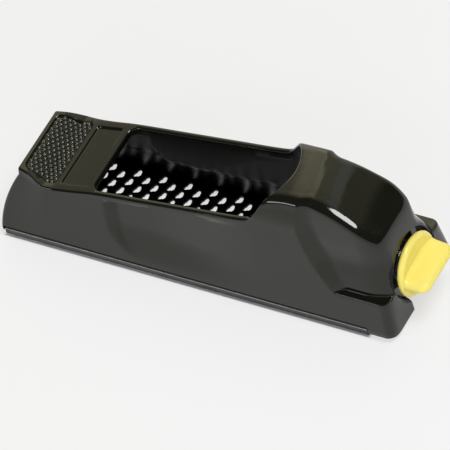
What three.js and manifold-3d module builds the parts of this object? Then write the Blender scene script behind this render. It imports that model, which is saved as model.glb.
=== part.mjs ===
// Pocket rasp plane: a die-cast body, a perforated rasp blade stretched under it and a thumb knob
// at the heel that draws the blade tight. Millimetres, +X from toe to heel, +Z up.
import * as THREE from 'three';
import { mergeVertices } from 'three/addons/utils/BufferGeometryUtils.js';
import Module from 'manifold-3d';

const wasm = await Module();
wasm.setup();

// Driving dimensions
const blade_length = 140;
const blade_width = 42;
const blade_sheet = 0.8;
const flange_height = 3.2;
const tooth_height = 0.8;
const fit_gap = 0.3;
const cut_over = 5;
const smallest_edge = 0.02;

const heel_length = 9.9;
const rail_start_height = 26.1;
const rail_end_height = 38.9;
const hump_height = 50.8;
const pad_height = 26.1;
const casting_wall = 2.1;
const axis_height = 16.75;
const knob_radius = 11.1;
const screw_radius = 3;

const blade_start = 0.7;
const blade_end = blade_start + blade_length;
const body_length = blade_end + heel_length;
const half_width = blade_width / 2;

// Places along the body
const toe_front = -1.3;
const toe_lean = 10.4;
const toe_fade = 26;
const toe_half_width = 13.2;
const toe_corner_length = 15;
const rail_half_width = 15.9;
const window_start = 38.7;
const window_corner = 3.2;
const rail_width = 2.1;
const rail_bead = 1;
const hump_length = 47.6;
const hump_end = body_length;
const hump_start = hump_end - hump_length;
const lip_setback = 11.1;
const lip_place = hump_start + lip_setback;
const lip_half_width = 11;
const lip_depth = 4;
const shoulder_half_width = 12.5;
const shoulder_radius = 3;
const recess_depth = 3.3;
const recess_floor = body_length - recess_depth;
const ledge_height = 16.3;
const ledge_step = 1;
const scoop_half_width = 16.8;
const scoop_blend = 4.5;
const rear_corner = 10;
const grip_depth = 2.2;
const grip_blend = 4.4;
const grip_fade_start = 72;
const grip_fade_end = 118;
const grip_floor = 4.6;

// Shapes as pairs of shares: the first of the body's length, the hump's length or a height, the second of the
// size that the table is used with
const pad_top_shares = [[0.06, 1.098], [0.08, 1.094], [0.1, 1.062], [0.12, 1.016], [0.133, 1], [0.15, 1.004],
  [0.166, 1.015], [0.18, 1.03], [0.2, 1.05]];
const hump_top_shares = [[0, 0.765], [0.032, 0.818], [0.064, 0.87], [0.105, 0.93], [0.135, 0.957],
  [0.17, 0.975], [0.23, 0.99], [0.31, 0.999], [0.38, 1], [0.45, 0.994], [0.525, 0.978], [0.61, 0.951],
  [0.69, 0.914], [0.78, 0.872], [0.86, 0.82], [0.905, 0.788], [0.94, 0.755], [0.958, 0.727],
  [0.968, 0.69], [0.975, 0.61], [0.984, 0.51], [0.991, 0.41], [0.996, 0.345], [1, 0.335]];
const flare_shares = [[0, 0], [0.25, 0.11], [0.5, 0.36], [0.75, 0.74], [1, 1]];
const crease_shares = [[0.33, 0.866], [0.41, 0.852], [0.46, 0.838], [0.56, 0.823], [0.67, 0.811],
  [0.82, 0.8], [0.95, 0.806]];
const scoop_shares = [[0.32, 1], [0.43, 0.905], [0.55, 0.8], [0.71, 0.756], [0.87, 0.702], [0.96, 0.66],
  [1, 0.655]];
const rear_corner_shares = [[0.34, 0.45], [0.55, 0.8], [0.71, 0.93], [1, 1]];
const grip_edge_shares = [[0.2, 0.4], [0.25, 0.345], [0.38, 0.318], [0.56, 0.298], [0.78, 0.288], [1, 0.29]];

function along(table, t) {
  if (t <= table[0][0]) return table[0][1];
  for (let i = 1; i < table.length; i++) {
    if (t <= table[i][0]) {
      const [t0, v0] = table[i - 1];
      const [t1, v1] = table[i];
      return v0 + (v1 - v0) * (t - t0) / (t1 - t0);
    }
  }
  return table[table.length - 1][1];
}

const clamp = (t) => Math.min(1, Math.max(0, t));
const smooth = (t) => clamp(t) * clamp(t) * (3 - 2 * clamp(t));
const mix = (a, b, t) => a + (b - a) * t;

function rail_top(x) {
  const share = (x - toe_corner_length) / (hump_start - toe_corner_length);
  return mix(rail_start_height, rail_end_height, Math.max(0, share));
}

function top_height(x) {
  const share = x / body_length;
  const pad_end = pad_top_shares[pad_top_shares.length - 1][0];
  if (share < pad_end) return pad_height * along(pad_top_shares, share);
  if (x < hump_start) return rail_top(x);
  return hump_height * along(hump_top_shares, (x - hump_start) / (hump_end - hump_start));
}

// Side wall without its scoops: upright over the blade's flange, leaning in to the rails, then to the shoulder
function full_wall(x, z) {
  const top = Math.min(top_height(x + toe_shift(x, pad_height)), rail_end_height);
  const upper = mix(toe_half_width, rail_half_width, clamp(x / toe_corner_length));
  const rise = clamp((z - flange_height) / (top - flange_height));
  const flare = along(flare_shares, (z - rail_end_height) / (hump_height - shoulder_radius - rail_end_height));
  const outside = mix(half_width, upper, rise) - (rail_half_width - shoulder_half_width) * flare;
  const grip_edge = body_length * along(grip_edge_shares, z / pad_height);
  const reach = smooth((x - grip_edge) / grip_blend) * smooth((z - grip_floor) / grip_blend);
  const under_bead = smooth((top - rail_bead - rail_bead - z) / rail_bead);
  const fade = 1 - smooth((x - grip_fade_start) / (grip_fade_end - grip_fade_start));
  return outside - grip_depth * reach * under_bead * fade;
}

function side_wall(x, z) {
  const full = full_wall(x, z);
  if (z <= ledge_height) return full;
  let scooped = scoop_half_width * along(scoop_shares, z / hump_height);
  const corner = rear_corner * along(rear_corner_shares, z / hump_height);
  const turn = clamp((x - (hump_end - corner)) / corner);
  scooped -= corner * (1 - Math.sqrt(1 - turn * turn));
  const crease = body_length * along(crease_shares, z / hump_height);
  const t = clamp((x - crease) / scoop_blend);
  return Math.min(full, mix(full, scooped, 1 - (1 - t) * (1 - t)));
}

function toe_shift(x, z) {
  const rise = clamp((z - flange_height) / (pad_height - flange_height));
  return (toe_lean * Math.pow(rise, 1.3) + toe_front) * (1 - smooth(x / toe_fade));
}

// A solid from half sections: each runs from the middle of its bottom to the middle of its top
function skin(sections) {
  const points = [];
  const faces = [];
  const half = sections[0].length - 1;
  const round = 2 * half;
  for (const section of sections) {
    section.forEach((p) => points.push(p));
    for (let j = half - 1; j > 0; j--) points.push([section[j][0], -section[j][1], section[j][2]]);
  }
  for (let i = 0; i + 1 < sections.length; i++) {
    for (let j = 0; j < round; j++) {
      const a = i * round + j;
      const b = i * round + (j + 1) % round;
      faces.push([a, a + round, b + round], [a, b + round, b]);
    }
  }
  const cap = (start, flip) => {
    for (let j = 0; j < half; j++) {
      const a = start + j;
      const b = start + j + 1;
      const c = start + round - j - 1;
      const d = start + (round - j) % round;
      const quads = a === d ? [[a, b, c]] : b === c ? [[a, b, d]] : [[a, b, c], [a, c, d]];
      quads.forEach((f) => faces.push(flip ? f.slice().reverse() : f));
    }
  };
  cap(0, false);
  cap((sections.length - 1) * round, true);
  const geometry = new THREE.BufferGeometry();
  geometry.setAttribute('position', new THREE.Float32BufferAttribute(points.flat(), 3));
  geometry.setIndex(faces.flat());
  return outward(geometry);
}

// Turns a closed mesh whose faces point inwards
function outward(geometry) {
  const p = geometry.attributes.position;
  const index = geometry.index.array;
  const [a, b, c] = [new THREE.Vector3(), new THREE.Vector3(), new THREE.Vector3()];
  let volume = 0;
  for (let i = 0; i < index.length; i += 3) {
    a.fromBufferAttribute(p, index[i]);
    b.fromBufferAttribute(p, index[i + 1]);
    c.fromBufferAttribute(p, index[i + 2]);
    volume += a.dot(b.cross(c));
  }
  if (volume < 0) {
    for (let i = 0; i < index.length; i += 3) [index[i], index[i + 1]] = [index[i + 1], index[i]];
  }
  return geometry;
}

function solid(geometry) {
  const bare = geometry.clone();
  bare.deleteAttribute('normal');
  bare.deleteAttribute('uv');
  const merged = mergeVertices(bare);
  return new wasm.Manifold(new wasm.Mesh({
    numProp: 3,
    vertProperties: new Float32Array(merged.attributes.position.array),
    triVerts: new Uint32Array(merged.index.array),
  }));
}

function shape_of(body) {
  const mesh = body.simplify(smallest_edge).getMesh();
  const geometry = new THREE.BufferGeometry();
  geometry.setAttribute('position', new THREE.BufferAttribute(new Float32Array(mesh.vertProperties), 3));
  geometry.setIndex(new THREE.BufferAttribute(new Uint32Array(mesh.triVerts), 1));
  geometry.computeVertexNormals();
  return geometry;
}

function block(x0, x1, y0, y1, z0, z1) {
  const geometry = new THREE.BoxGeometry(1, 1, 1);
  const p = geometry.attributes.position;
  for (let i = 0; i < p.count; i++) {
    p.setXYZ(i, p.getX(i) < 0 ? x0 : x1, p.getY(i) < 0 ? y0 : y1, p.getZ(i) < 0 ? z0 : z1);
  }
  return geometry;
}

// A round bar along X on the screw's axis
function round_bar(x0, x1, radius, sides) {
  const geometry = new THREE.CylinderGeometry(radius, radius, x1 - x0, sides);
  geometry.rotateZ(Math.PI / 2);
  geometry.translate((x0 + x1) / 2, 0, axis_height);
  return geometry;
}

function plate(outline, z0, z1) {
  const shape = new THREE.Shape(outline.map(([x, y]) => new THREE.Vector2(x, y)));
  const geometry = new THREE.ExtrudeGeometry(shape, { depth: z1 - z0, bevelEnabled: false });
  geometry.translate(0, 0, z0);
  return geometry;
}

// Body casting
const casting_floor = blade_sheet + fit_gap;
const side_step_shares = [0.12, 0.26, 0.4, 0.54, 0.68, 0.82, 0.93, 1];
const low_step_shares = [0.22, 0.4, 0.6, 0.8, 1];
const toe_stations = [0, 0.012, 0.025, 0.04, 0.055, 0.07, 0.085, 0.1, 0.115, 0.14, 0.17, 0.2, 0.24];
const grip_stations = [0.27, 0.283, 0.295, 0.306, 0.318, 0.335, 0.36, 0.4, 0.46, 0.52, 0.58, 0.64];
const hump_stations = [0, 0.032, 0.064, 0.105, 0.135, 0.17, 0.23, 0.29, 0.35, 0.38, 0.41, 0.44, 0.47,
  0.51, 0.55, 0.6, 0.65, 0.71, 0.78, 0.86, 0.905, 0.94, 0.958, 0.968, 0.975, 0.984, 0.991, 1];

function casting_section(x) {
  const top = top_height(x + toe_shift(x, pad_height));
  const edge = mix(rail_bead, shoulder_radius, smooth((x - hump_start) / (lip_place - hump_start)));
  const section = [];
  const place = (y, z) => section.push([x + toe_shift(x, z), y, z]);
  place(0, casting_floor);
  place(side_wall(x, casting_floor), casting_floor);
  low_step_shares.forEach((s) => place(side_wall(x, s * ledge_height), mix(casting_floor, ledge_height, s)));
  const above = ledge_height + ledge_step;
  const shoulder = Math.max(above + ledge_step, top - edge);
  place(side_wall(x, above), above);
  side_step_shares.forEach((s) => place(side_wall(x, mix(above, shoulder, s)), mix(above, shoulder, s)));
  const corner = side_wall(x, shoulder);
  for (const turn of [Math.PI / 6, Math.PI / 3, Math.PI / 2]) {
    place(corner - edge * (1 - Math.cos(turn)), shoulder + (top - shoulder) * Math.sin(turn));
  }
  place(0, Math.max(top, shoulder));
  return section;
}

const outer_stations = [
  ...toe_stations.map((s) => s * body_length),
  ...grip_stations.map((s) => s * body_length),
  ...hump_stations.map((s) => mix(hump_start, hump_end, s)),
];
let casting = solid(skin(outer_stations.map(casting_section)));

// Heel corners, and the slot between the two cheeks under the knob
const cheek_corner = 3.5;
const corner_over = 0.3;
const corner_shares = [[-1.3, 1], [-0.62, 0.92], [-0.29, 0.7], [-0.08, 0.38], [0.06, 0]];
const slot_half = 6.9;
const slot_reach = 5.1;
const slot_start = body_length - slot_reach;

for (const side of [-1, 1]) {
  const outline = corner_shares.map(([along_x, across]) => [body_length + along_x * cheek_corner,
    side * (half_width - cheek_corner + across * (cheek_corner + corner_over))]);
  outline.push([body_length + cut_over, side * (half_width - cheek_corner)],
    [body_length + cut_over, side * (half_width + cut_over)],
    [body_length + corner_shares[0][0] * cheek_corner, side * (half_width + cut_over)]);
  if (side > 0) outline.reverse();
  casting = casting.subtract(solid(plate(outline, -cut_over, hump_height)));
}
casting = casting.subtract(solid(block(slot_start, body_length + cut_over, -slot_half, slot_half,
  -cut_over, axis_height)));

// Hollow under the pad, the open window and the hollow of the hump
const hollow_start = 9;
const bulkhead_front = blade_end + fit_gap + fit_gap;
const pad_roof = 2.4;
const hump_roof = 2.4;
const hollow_shares = [0, 0.06, 0.12, 0.17, 0.21, 0.235, 0.26, 0.285, 0.32, 0.37, 0.43, 0.5, 0.57, 0.64,
  0.7, 0.715, 0.73, 0.75, 0.77, 0.8, 0.83, 0.86, 0.89, 0.92, 0.95, 0.975, 1];

function hollow_section(x) {
  const roof = x < hump_start ? top_height(x) - pad_roof : top_height(x + hump_roof) - hump_roof;
  const section = [[x, 0, casting_floor - cut_over]];
  for (const s of [0, 0.2, 0.32, 0.42, 0.52, 0.64, 0.76, 0.88, 0.95]) {
    const z = mix(casting_floor - cut_over, roof, s);
    section.push([x, Math.min(side_wall(x, Math.max(z, casting_floor)), side_wall(x, z + casting_wall))
      - casting_wall, z]);
  }
  section.push([x, side_wall(x, roof) - casting_wall - hump_roof, roof], [x, 0, roof]);
  return section;
}
const hollow_stations = hollow_shares.map((s) => mix(hollow_start, bulkhead_front, s));
casting = casting.subtract(solid(skin(hollow_stations.map(hollow_section))));

const window_side = rail_half_width - rail_width;
const mouth_step = 3.2;
const mouth_half = 13.4;
const mouth_reach = 5.4;
const mouth_lip_half = 12.3;
const mouth_edge = [[hump_start, window_side], [hump_start + mouth_step, mouth_half],
  [hump_start + mouth_reach, mouth_lip_half]];

function window_outline() {
  const front = window_start;
  const points = [[front, -window_side + window_corner], [front + window_corner * 0.3, -window_side
    + window_corner * 0.3], [front + window_corner, -window_side]];
  mouth_edge.forEach(([x, y]) => points.push([x, -y]));
  for (let i = 0; i <= 8; i++) {
    const y = mix(-lip_half_width, lip_half_width, i / 8);
    points.push([lip_place - lip_depth * Math.pow(y / lip_half_width, 2), y]);
  }
  mouth_edge.slice().reverse().forEach((p) => points.push(p));
  points.push([front + window_corner, window_side],
    [front + window_corner * 0.3, window_side - window_corner * 0.3], [front, window_side - window_corner]);
  return points;
}
const window_floor = pad_height - 4 * pad_roof;
casting = casting.subtract(solid(plate(window_outline(), window_floor, hump_height + cut_over)));

// Seats for the blade: a rebate along each side and a hook under the toe
const seat_inner = half_width - blade_sheet - fit_gap;
const seat_top = flange_height + fit_gap;
const hook_back = blade_start + blade_sheet + fit_gap;
const hook_top = 4.6;
for (const side of [-1, 1]) {
  const [y0, y1] = [side * seat_inner, side * (half_width + cut_over)].sort((a, b) => a - b);
  casting = casting.subtract(solid(block(-cut_over, blade_end + fit_gap, y0, y1, -cut_over, seat_top)));
}
casting = casting.subtract(solid(block(-cut_over, hook_back, -half_width - cut_over, half_width + cut_over,
  -cut_over, hook_top)));

// Round recess for the knob, and the screw's bore through the bulkhead
const recess_radius = knob_radius + 1.1;
const clip_thickness = 0.7;
const clip_radius = 5.6;
const clip_seat = 0.2;
const clip_room = clip_thickness + fit_gap + fit_gap;
const claw_thickness = 2;
const bore_gap = 0.09;
const loose_gap = 0.5;
casting = casting.subtract(solid(round_bar(recess_floor, body_length + cut_over, recess_radius, 44)));
casting = casting.subtract(solid(round_bar(bulkhead_front - cut_over, recess_floor + cut_over,
  screw_radius + bore_gap, 32)));
casting = casting.subtract(solid(round_bar(bulkhead_front - clip_room - claw_thickness,
  bulkhead_front + clip_seat, clip_radius + loose_gap, 32)));

// Thumb pad and name band sunk slightly below their borders
const field_depth = 0.5;
const pad_field_start = 10.8;
const pad_field_end = 23.2;
const pad_field_half = 12;
const band_field_start = 25.4;
const band_field_end = 35.4;
const band_field_half = 12.9;
const field_steps = 6;

function field_section(x, half, start, end) {
  const inset = (x === start || x === end) ? window_corner / 2 : 0;
  const floor = top_height(x) - field_depth;
  const side = half - inset;
  return [[x, 0, floor], [x, side, floor], [x, side, floor + cut_over], [x, 0, floor + cut_over]];
}
for (const [start, end, half] of [[pad_field_start, pad_field_end, pad_field_half],
  [band_field_start, band_field_end, band_field_half]]) {
  const places = Array.from({ length: field_steps + 1 }, (_, i) => mix(start, end, i / field_steps));
  places.splice(1, 0, start + window_corner / 2);
  places.splice(places.length - 1, 0, end - window_corner / 2);
  const sorted = [...new Set(places)].sort((a, b) => a - b);
  casting = casting.subtract(solid(skin(sorted.map((x) => field_section(x, half, start, end)))));
}

// Rasp blade: a channel of pressed sheet, turned up at both ends, with rows of holes and teeth
const front_lip = 3.6;
const rear_lip = 4.4;
const lip_half = 16;
const row_along = [9.88, 0.1];
const row_across = [4.3, -2.05];
const first_hole = [42, 15.85];
const hole_long = 3.1;
const hole_wide = 1.8;
const hole_slant = 0.42;
const blade_margin = 7;
const row_half_width = 16.5;
const tooth_reach = 1.3;
const hole_sides = 6;

let blade = solid(block(blade_start, blade_end, -half_width, half_width, 0, blade_sheet));
for (const side of [-1, 1]) {
  const [y0, y1] = [side * (half_width - blade_sheet), side * half_width].sort((a, b) => a - b);
  blade = blade.add(solid(block(blade_start, blade_end, y0, y1, 0, flange_height)));
}
blade = blade.add(solid(block(blade_start, blade_start + blade_sheet, -lip_half, lip_half, 0, front_lip)));
blade = blade.add(solid(block(blade_end - blade_sheet, blade_end, -lip_half, lip_half, 0, rear_lip)));

// Each hole leans across the blade, with a raised cutting edge along its rear side
function hole_places() {
  const places = [];
  const reach = Math.ceil(2 * blade_length / row_along[0]);
  for (let k = 0; k <= 2 * row_half_width / Math.abs(row_across[1]); k++) {
    for (let i = -reach; i <= reach; i++) {
      const x = first_hole[0] + i * row_along[0] + k * row_across[0];
      const y = first_hole[1] + k * row_across[1] + (x - first_hole[0]) * row_along[1] / blade_length;
      const inside = x > blade_start + blade_margin && x < blade_end - blade_margin;
      if (inside && Math.abs(y) < row_half_width) places.push([x, y]);
    }
  }
  return places;
}

function hole_outline(x, y) {
  return Array.from({ length: hole_sides }, (_, i) => {
    const turn = 2 * Math.PI * i / hole_sides;
    return [x + hole_wide / 2 * Math.cos(turn) + hole_slant * hole_long / 2 * Math.sin(turn),
      y + hole_long / 2 * Math.sin(turn)];
  });
}

function tooth(x, y) {
  const geometry = new THREE.BufferGeometry();
  const half = hole_long / 2;
  const back = x + hole_wide / 2 + tooth_reach;
  const edge = x + hole_wide / 2;
  const points = [[edge, y - half, blade_sheet / 2], [edge, y + half, blade_sheet / 2],
    [back, y, blade_sheet / 2], [edge, y, -tooth_height]];
  geometry.setAttribute('position', new THREE.Float32BufferAttribute(points.flat(), 3));
  geometry.setIndex([0, 1, 2, 0, 3, 1, 1, 3, 2, 2, 3, 0]);
  return outward(geometry);
}

const holes = hole_places();
const hole_cutters = holes.map(([x, y]) => solid(plate(hole_outline(x, y), -cut_over, blade_sheet + 1)));
const teeth = holes.map(([x, y]) => solid(tooth(x, y)));
blade = blade.add(wasm.Manifold.union(teeth)).subtract(wasm.Manifold.union(hole_cutters));

// Thumb knob: a boss, a disc and a flat wing behind it, moulded round the screw's head
const washer_thickness = 0.7;
const washer_back = recess_floor + fit_gap + washer_thickness;
const boss_radius = 6;
const boss_length = 1.4;
const knob_face = washer_back + fit_gap + boss_length;
const disc_thickness = 2.5;
const knob_back = knob_face + disc_thickness;
const wing_length = 8;
const knob_tip = knob_back + wing_length;
const wing_root_half = 10.9;
const wing_tip_half = 10.3;
const wing_thickness = 4.2;
const wing_tip_thickness = 3;
const disc_edge = 0.8;
const screw_head_radius = 4.2;
const screw_head_start = knob_face + fit_gap;
const screw_head_length = 1.6;

const disc_profile = [[0, -boss_length], [boss_radius, -boss_length], [boss_radius, 0],
  [knob_radius - disc_edge, 0], [knob_radius, disc_edge], [knob_radius, disc_thickness - disc_edge],
  [knob_radius - disc_edge, disc_thickness], [0, disc_thickness]];
const disc = new THREE.LatheGeometry(disc_profile.map(([r, h]) => new THREE.Vector2(r, h)), 40);
disc.rotateZ(-Math.PI / 2);
disc.translate(knob_face, 0, axis_height);

function wing_section(share) {
  const x = mix(knob_back - disc_edge, knob_tip, share);
  const half = mix(wing_root_half, wing_tip_half, share) - (share === 1 ? disc_edge : 0);
  const thick = mix(wing_thickness, wing_tip_thickness, share) / 2 - (share === 1 ? disc_edge / 2 : 0);
  return [[x, 0, axis_height - thick], [x, half - disc_edge, axis_height - thick], [x, half, axis_height],
    [x, half - disc_edge, axis_height + thick], [x, 0, axis_height + thick]];
}
let knob = solid(disc).add(solid(skin([0, 0.2, 0.5, 0.8, 0.93, 1].map(wing_section))));
knob = knob.subtract(solid(round_bar(knob_face - cut_over, screw_head_start, screw_radius + fit_gap, 24)));
knob = knob.subtract(solid(round_bar(screw_head_start - fit_gap, screw_head_start + screw_head_length,
  screw_head_radius + fit_gap, 24)));

// Tension screw with its head inside the knob
const screw_reach = 19.7;
const screw_front = blade_end - screw_reach;
const thread_crest = 0.25;
const thread_pitch = 1;
const thread_setback = 2;
const thread_clear = 3.7;
const thread_start = screw_front + thread_setback;
const thread_end = blade_end - thread_clear;
const head_end = screw_head_start + screw_head_length - fit_gap;

function screw_profile() {
  const points = [[0, screw_front], [screw_radius - thread_crest, screw_front]];
  for (let x = thread_start; x < thread_end; x += thread_pitch) {
    points.push([screw_radius - thread_crest, x], [screw_radius, x + thread_pitch / 2]);
  }
  points.push([screw_radius - thread_crest, thread_end], [screw_radius, thread_end + thread_crest],
    [screw_radius, screw_head_start],
    [screw_head_radius, screw_head_start], [screw_head_radius, head_end], [0, head_end]);
  return points.map(([r, x]) => new THREE.Vector2(r, x));
}
const screw = new THREE.LatheGeometry(screw_profile(), 16);
screw.rotateZ(-Math.PI / 2);
screw.translate(0, 0, axis_height);

function ring(x0, x1, inner, outer, sides) {
  const profile = [[inner, x0], [outer, x0], [outer, x1], [inner, x1], [inner, x0]];
  const geometry = new THREE.LatheGeometry(profile.map(([r, x]) => new THREE.Vector2(r, x)), sides);
  geometry.rotateZ(-Math.PI / 2);
  geometry.translate(0, 0, axis_height);
  return geometry;
}

// Thrust washer behind the bulkhead, retaining clip in front of it
const washer_radius = 7;
const washer = ring(recess_floor + fit_gap, washer_back, screw_radius + fit_gap, washer_radius, 28);
const clip_opening = 2;
const clip_back = bulkhead_front - fit_gap;
let clip = solid(ring(clip_back - clip_thickness, clip_back, screw_radius + fit_gap, clip_radius, 28));
clip = clip.subtract(solid(block(clip_back - cut_over, clip_back + cut_over, -clip_opening, clip_opening,
  axis_height - clip_radius - cut_over, axis_height)));

// Tension claw: a bent steel plate that hooks the blade's rear lip, with the square nut in its fork
const claw_back = blade_end - blade_sheet - fit_gap;
const claw_half_top = 8;
const claw_half_foot = 13;
const claw_rise = 7;
const claw_top = axis_height + claw_rise;
const claw_shoulder = 10;
const claw_foot = blade_sheet + fit_gap;
const fork_wall = 1.4;
const nut_across = 10;
const nut_thickness = 5;
const nut_hole_gap = 0.3;
const claw_plane = claw_back - clip_room;

let claw = solid(block(claw_plane - claw_thickness, claw_plane, -claw_half_top, claw_half_top,
  claw_shoulder - claw_thickness, claw_top));
claw = claw.add(solid(block(claw_plane - claw_thickness, claw_back, -claw_half_foot, claw_half_foot,
  claw_shoulder - claw_thickness - claw_thickness, claw_shoulder - claw_thickness)));
claw = claw.add(solid(block(claw_back - claw_thickness, claw_back, -claw_half_foot, claw_half_foot,
  claw_foot, claw_shoulder - claw_thickness)));
const fork_start = claw_plane - claw_thickness - nut_thickness;
for (const side of [-1, 1]) {
  const inner = nut_across / 2 + fit_gap;
  const [y0, y1] = [side * inner, side * (inner + fork_wall)].sort((a, b) => a - b);
  claw = claw.add(solid(block(fork_start, claw_plane, y0, y1, axis_height - nut_across / 2,
    axis_height + nut_across / 2)));
}
claw = claw.subtract(solid(round_bar(fork_start, claw_plane + cut_over, screw_radius + loose_gap, 20)));

const nut_back = claw_plane - claw_thickness - fit_gap;
let nut = solid(block(nut_back - nut_thickness, nut_back, -nut_across / 2, nut_across / 2,
  axis_height - nut_across / 2, axis_height + nut_across / 2));
nut = nut.subtract(solid(round_bar(nut_back - nut_thickness - cut_over, nut_back + cut_over,
  screw_radius + nut_hole_gap, 20)));

// Finishes
const enamel = new THREE.MeshStandardMaterial({ color: 0x1b1b19, roughness: 0.16, metalness: 0 });
const yellow = new THREE.MeshStandardMaterial({ color: 0xf2dd55, roughness: 0.35, metalness: 0 });
const blade_steel = new THREE.MeshStandardMaterial({ color: 0x2a2b2a, roughness: 0.35, metalness: 0.8 });
const bright_steel = new THREE.MeshStandardMaterial({ color: 0xb9bcbd, roughness: 0.3, metalness: 1 });

const plane = new THREE.Group();
const middle = (knob_tip + toe_front) / 2;
plane.position.set(-middle, 0, tooth_height);

function part(name, geometry, material) {
  const mesh = new THREE.Mesh(geometry, material);
  mesh.name = name;
  plane.add(mesh);
}
part('body_casting', shape_of(casting), enamel);
part('rasp_blade', shape_of(blade), blade_steel);
part('thumb_knob', shape_of(knob), yellow);
part('tension_screw', shape_of(solid(screw)), bright_steel);
part('thrust_washer', shape_of(solid(washer)), bright_steel);
part('retaining_clip', shape_of(clip), bright_steel);
part('tension_claw', shape_of(claw), bright_steel);
part('square_nut', shape_of(nut), bright_steel);

const object = new THREE.Group();
object.add(plane);

export default object;
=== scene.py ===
import bpy
import bmesh
import math
from mathutils import Matrix, Vector


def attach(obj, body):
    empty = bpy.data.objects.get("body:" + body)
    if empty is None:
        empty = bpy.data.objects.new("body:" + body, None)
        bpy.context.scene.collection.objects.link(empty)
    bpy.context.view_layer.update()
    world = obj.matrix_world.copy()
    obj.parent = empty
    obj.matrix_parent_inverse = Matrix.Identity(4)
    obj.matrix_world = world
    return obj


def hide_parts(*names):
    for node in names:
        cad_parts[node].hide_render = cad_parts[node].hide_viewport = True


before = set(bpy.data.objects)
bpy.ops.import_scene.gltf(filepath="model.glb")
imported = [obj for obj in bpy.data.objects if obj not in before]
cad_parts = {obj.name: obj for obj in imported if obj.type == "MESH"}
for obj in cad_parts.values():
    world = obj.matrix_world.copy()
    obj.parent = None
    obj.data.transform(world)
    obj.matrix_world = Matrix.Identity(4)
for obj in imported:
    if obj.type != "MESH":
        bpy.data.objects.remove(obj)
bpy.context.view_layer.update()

# Body casting: one zinc die casting, stoved with glossy black enamel. Its toe carries the thumb pad,
# two thin rails run back beside the open window to the hump under the palm, and two cheeks stand
# round the knob. The outside and the hollow are lofted, then the openings are cut through both.
# All sizes are in millimetres from the toe's foot, the screw's plane and the blade's underside.
TOOTH = 0.8
MIDDLE = 79.6
BODY_END = 150.6
BODY_FLOOR = 1.1
WALL = 2.1
AXIS = 16.75
RAIL_END = 38.9
HUMP_START = 103.0
LEDGE = 16.35
HALF_WIDTH = 21.0
BLADE_START = 0.7
BLADE_END = 140.7
FOOT = 3.2
PAD_LOW = 26.1
PAD_END = 26.0
TOE_LEAN = 9.8
TOE_FORWARD = 0.98
FRONT_ROUND = 1.5
GRIP_DEPTH = 2.3
TOP_HALF = 15.9
TOE_NARROWS = 2.8
CREASE_WIDTH = 4.6
REAR_ROUND = 2.6
HEEL_ROUND = 3.5
LEDGE_ROUND = 0.5
NOSE_ROUND = 0.6
TAIL_ROUND = 0.9

# The outline as tables: heights along the top and the rails, then by height how far the side leans in,
# where the scoop's crease runs, the half width behind it, and how much that narrows to the rear.
top_line = [(0, 28.9), (9.1, 28.65), (12.1, 28.55), (15.1, 27.7), (18.1, 26.5), (20, 26.1), (22.6, 26.2),
            (25, 26.5), (27.5, 26.95), (30.1, 27.45), (40, 29.7), (60, 32.65), (80, 35.55), (97.5, 38.1),
            (101, 38.95), (103, 40.2), (104.6, 42.2), (106.1, 44.4), (108, 47.2), (109.4, 48.6),
            (111.1, 49.5), (113.9, 50.25), (117.8, 50.72), (121, 50.78), (124.4, 50.5), (128, 49.7),
            (132, 48.3), (135.8, 46.45), (140.1, 44.0), (143.9, 41.2), (146.1, 39.4), (147.9, 37.75),
            (148.55, 36.6), (149.0, 34.4), (149.4, 31.0), (149.8, 26.0), (150.15, 21.0), (150.4, 17.6),
            (150.6, 17.0)]
level_line = [(0, 28.4), (12, 27.5), (24, 27.2), (36, 28.8), (50, 30.9), (103, 38.9)]
lean_line = [(38.9, 0.0), (41.1, 0.28), (43.4, 0.95), (45.6, 2.0), (47.8, 3.1), (50.8, 4.2)]
crease_line = [(16.35, 130.6), (20.8, 127.9), (23.4, 126.2), (28.4, 123.9), (34.0, 122.1), (41.6, 120.5),
               (48.3, 121.4), (51, 122.5)]
scoop_line = [(16.35, 16.9), (22, 15.2), (28, 13.35), (36, 12.7), (44, 11.8), (49, 11.1), (51, 11.0)]
taper_line = [(17, 1.5), (28, 2.8), (40, 2.8), (51, 2.2)]


def smooth_table(table, t):
    """Value of a table at t, on a curve without overshoot."""
    if t <= table[0][0]:
        return table[0][1]
    if t >= table[-1][0]:
        return table[-1][1]
    i = next(k for k in range(1, len(table)) if t <= table[k][0])

    def slope(k):
        if k == 0 or k == len(table) - 1:
            return 0.0
        before = (table[k][1] - table[k - 1][1]) / (table[k][0] - table[k - 1][0])
        after = (table[k + 1][1] - table[k][1]) / (table[k + 1][0] - table[k][0])
        return 0.0 if before * after <= 0 else 2 * before * after / (before + after)

    (t0, v0), (t1, v1) = table[i - 1], table[i]
    length = t1 - t0
    s = (t - t0) / length
    m0 = slope(i - 1) * length if i > 1 else (v1 - v0)
    m1 = slope(i) * length if i < len(table) - 1 else (v1 - v0)
    return ((2 * s**3 - 3 * s**2 + 1) * v0 + (s**3 - 2 * s**2 + s) * m0
            + (3 * s**2 - 2 * s**3) * v1 + (s**3 - s**2) * m1)


def clamp(t):
    return min(1.0, max(0.0, t))


def ease(t):
    """Smooth step from 0 to 1."""
    return clamp(t) ** 2 * (3 - 2 * clamp(t))


def mix(a, b, t):
    return a + (b - a) * t


def toe_shift(x, z):
    """How far the toe's face leans back at a height. The lean fades out along the pad."""
    rise = clamp((z - FOOT) / (PAD_LOW - FOOT))
    return (TOE_LEAN * rise ** 1.65 - TOE_FORWARD) * (1 - ease(x / PAD_END))


def top_at(x):
    return smooth_table(top_line, x + toe_shift(x, PAD_LOW))


def quarter(t):
    """What a quarter circle takes off, from 0 at its start to 1 at its end."""
    return 1 - math.sqrt(max(0.0, 1 - clamp(t) ** 2))


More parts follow.
